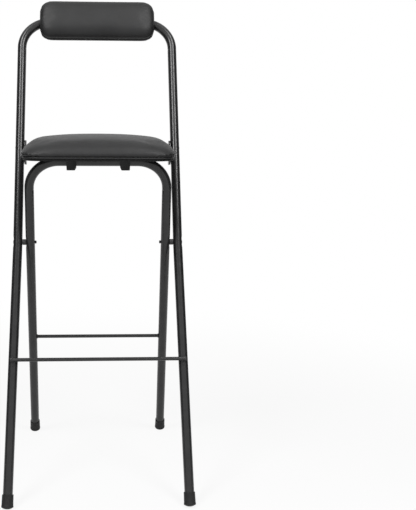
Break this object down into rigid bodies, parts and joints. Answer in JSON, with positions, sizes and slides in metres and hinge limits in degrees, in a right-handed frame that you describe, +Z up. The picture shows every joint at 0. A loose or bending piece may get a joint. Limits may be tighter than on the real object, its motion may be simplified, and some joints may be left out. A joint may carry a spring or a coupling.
{
  "type": "folding bar stool",
  "caption": "Folding bar stool with back: crossed bent-tube frames, padded hinged seat that hooks over the inner frame's crossbar, padded backrest, rod footrest",
  "frame": {"origin": "on the floor, below the middle of the whole stool's box", "axes": "+X to the right seen from the front, +Y to the back, +Z up"},
  "size_m": [0.4072, 0.48, 1.0686],
  "materials": {
    "powder_coat": "satin black powder coat",
    "foot_rubber": "matt black rubber",
    "black_steel": "blackened steel",
    "leatherette": "dark grey grained leatherette, satin",
    "plywood": "raw plywood",
    "dust_cloth": "black non-woven cloth",
    "black_plastic": "matt black plastic"
  },
  "bodies": {
    "back": {"back_frame": "powder_coat", "footrest_rod": "powder_coat", "foot_front_left": "foot_rubber", "foot_front_right": "foot_rubber", "pivot_bolt_left": "black_steel", "pivot_bolt_right": "black_steel", "pivot_spacer_left": "black_steel", "pivot_spacer_right": "black_steel", "pivot_nut_left": "black_steel", "pivot_nut_right": "black_steel", "hinge_rivet_left": "black_steel", "hinge_rivet_right": "black_steel", "hinge_spacer_left": "black_plastic", "hinge_spacer_right": "black_plastic", "backrest_board": "plywood", "backrest_cushion": "leatherette", "backrest_cover": "leatherette", "backrest_screw_left": "black_steel", "backrest_screw_right": "black_steel"},
    "legs": {"rear_leg_frame": "powder_coat", "rear_rod": "powder_coat", "foot_rear_left": "foot_rubber", "foot_rear_right": "foot_rubber"},
    "seat": {"seat_board": "plywood", "seat_cushion": "leatherette", "seat_piping": "leatherette", "seat_underlay": "dust_cloth", "hinge_bracket_left": "powder_coat", "hinge_bracket_right": "powder_coat", "bracket_screw_left_1": "black_steel", "bracket_screw_left_2": "black_steel", "bracket_screw_right_1": "black_steel", "bracket_screw_right_2": "black_steel", "bar_clip_left": "black_plastic", "bar_clip_right": "black_plastic", "clip_screw_left": "black_steel", "clip_screw_right": "black_steel"}
  },
  "joints": [
    {"name": "leg_fold", "type": "hinge", "parent": "back", "child": "legs", "pos_m": [0, -0.00094, 0.526], "axis": [-1, 0, 0], "range_deg": [0, 44]},
    {"name": "seat_fold", "type": "hinge", "parent": "back", "child": "seat", "pos_m": [0, 0.08807, 0.73], "axis": [-1, 0, 0], "range_deg": [0, 65.6]}
  ],
  "couplings": [
    {"joint": "seat_fold", "follows": "leg_fold", "ratio": 1.49}
  ]
}
